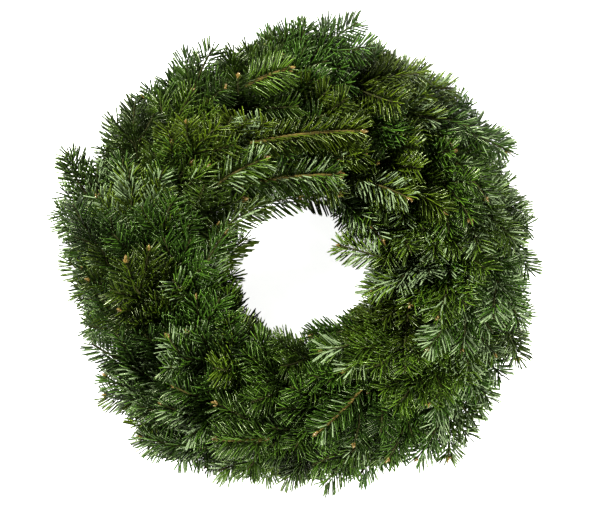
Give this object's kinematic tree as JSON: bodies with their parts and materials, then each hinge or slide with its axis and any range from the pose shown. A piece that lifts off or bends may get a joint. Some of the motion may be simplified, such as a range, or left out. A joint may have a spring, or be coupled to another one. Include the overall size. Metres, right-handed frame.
{
  "type": "fresh evergreen wreath",
  "caption": "Fresh fir wreath lying on its back: sprays of needled twigs, all pointing clockwise, bound with wire round a wire ring.",
  "frame": {"origin": "middle of the footprint, on the surface the wreath lies on", "axes": "+Z out of the wreath's face, up off the surface; +Y its top when it hangs; the sprays point clockwise as seen from +Z"},
  "size_m": [0.5476, 0.5328, 0.1092],
  "materials": {
    "fir_crown": "fresh fir twigs and needles on the face, satin needles with silvery undersides",
    "fir_shoulder": "fresh fir twigs and needles on the outer shoulder, satin needles with silvery undersides",
    "fir_outer": "fresh fir twigs and needles round the rim, satin needles with silvery undersides",
    "fir_inner": "fresh fir twigs and needles round the hole, satin needles with silvery undersides",
    "galvanised_wire": "dull galvanised steel",
    "green_wire": "green lacquered florist's wire"
  },
  "bodies": {
    "root": {"binding_wire": "green_wire", "crown_spray_01": "fir_crown", "crown_spray_02": "fir_crown", "crown_spray_03": "fir_crown", "crown_spray_04": "fir_crown", "crown_spray_05": "fir_crown", "crown_spray_06": "fir_crown", "crown_spray_07": "fir_crown", "crown_spray_08": "fir_crown", "crown_spray_09": "fir_crown", "crown_spray_10": "fir_crown", "crown_spray_11": "fir_crown", "crown_spray_12": "fir_crown", "inner_spray_01": "fir_inner", "inner_spray_02": "fir_inner", "inner_spray_03": "fir_inner", "inner_spray_04": "fir_inner", "inner_spray_05": "fir_inner", "inner_spray_06": "fir_inner", "inner_spray_07": "fir_inner", "inner_spray_08": "fir_inner", "inner_spray_09": "fir_inner", "inner_spray_10": "fir_inner", "inner_spray_11": "fir_inner", "inner_spray_12": "fir_inner", "inner_spray_13": "fir_inner", "inner_spray_14": "fir_inner", "inner_spray_15": "fir_inner", "outer_spray_01": "fir_outer", "outer_spray_02": "fir_outer", "outer_spray_03": "fir_outer", "outer_spray_04": "fir_outer", "outer_spray_05": "fir_outer", "outer_spray_06": "fir_outer", "outer_spray_07": "fir_outer", "outer_spray_08": "fir_outer", "outer_spray_09": "fir_outer", "outer_spray_10": "fir_outer", "outer_spray_11": "fir_outer", "outer_spray_12": "fir_outer", "outer_spray_13": "fir_outer", "outer_spray_14": "fir_outer", "outer_spray_15": "fir_outer", "outer_spray_16": "fir_outer", "outer_spray_17": "fir_outer", "outer_spray_18": "fir_outer", "shoulder_spray_01": "fir_shoulder", "shoulder_spray_02": "fir_shoulder", "shoulder_spray_03": "fir_shoulder", "shoulder_spray_04": "fir_shoulder", "shoulder_spray_05": "fir_shoulder", "shoulder_spray_06": "fir_shoulder", "shoulder_spray_07": "fir_shoulder", "shoulder_spray_08": "fir_shoulder", "shoulder_spray_09": "fir_shoulder", "shoulder_spray_10": "fir_shoulder", "shoulder_spray_11": "fir_shoulder", "shoulder_spray_12": "fir_shoulder", "wire_ring": "galvanised_wire"}
  },
  "joints": []
}
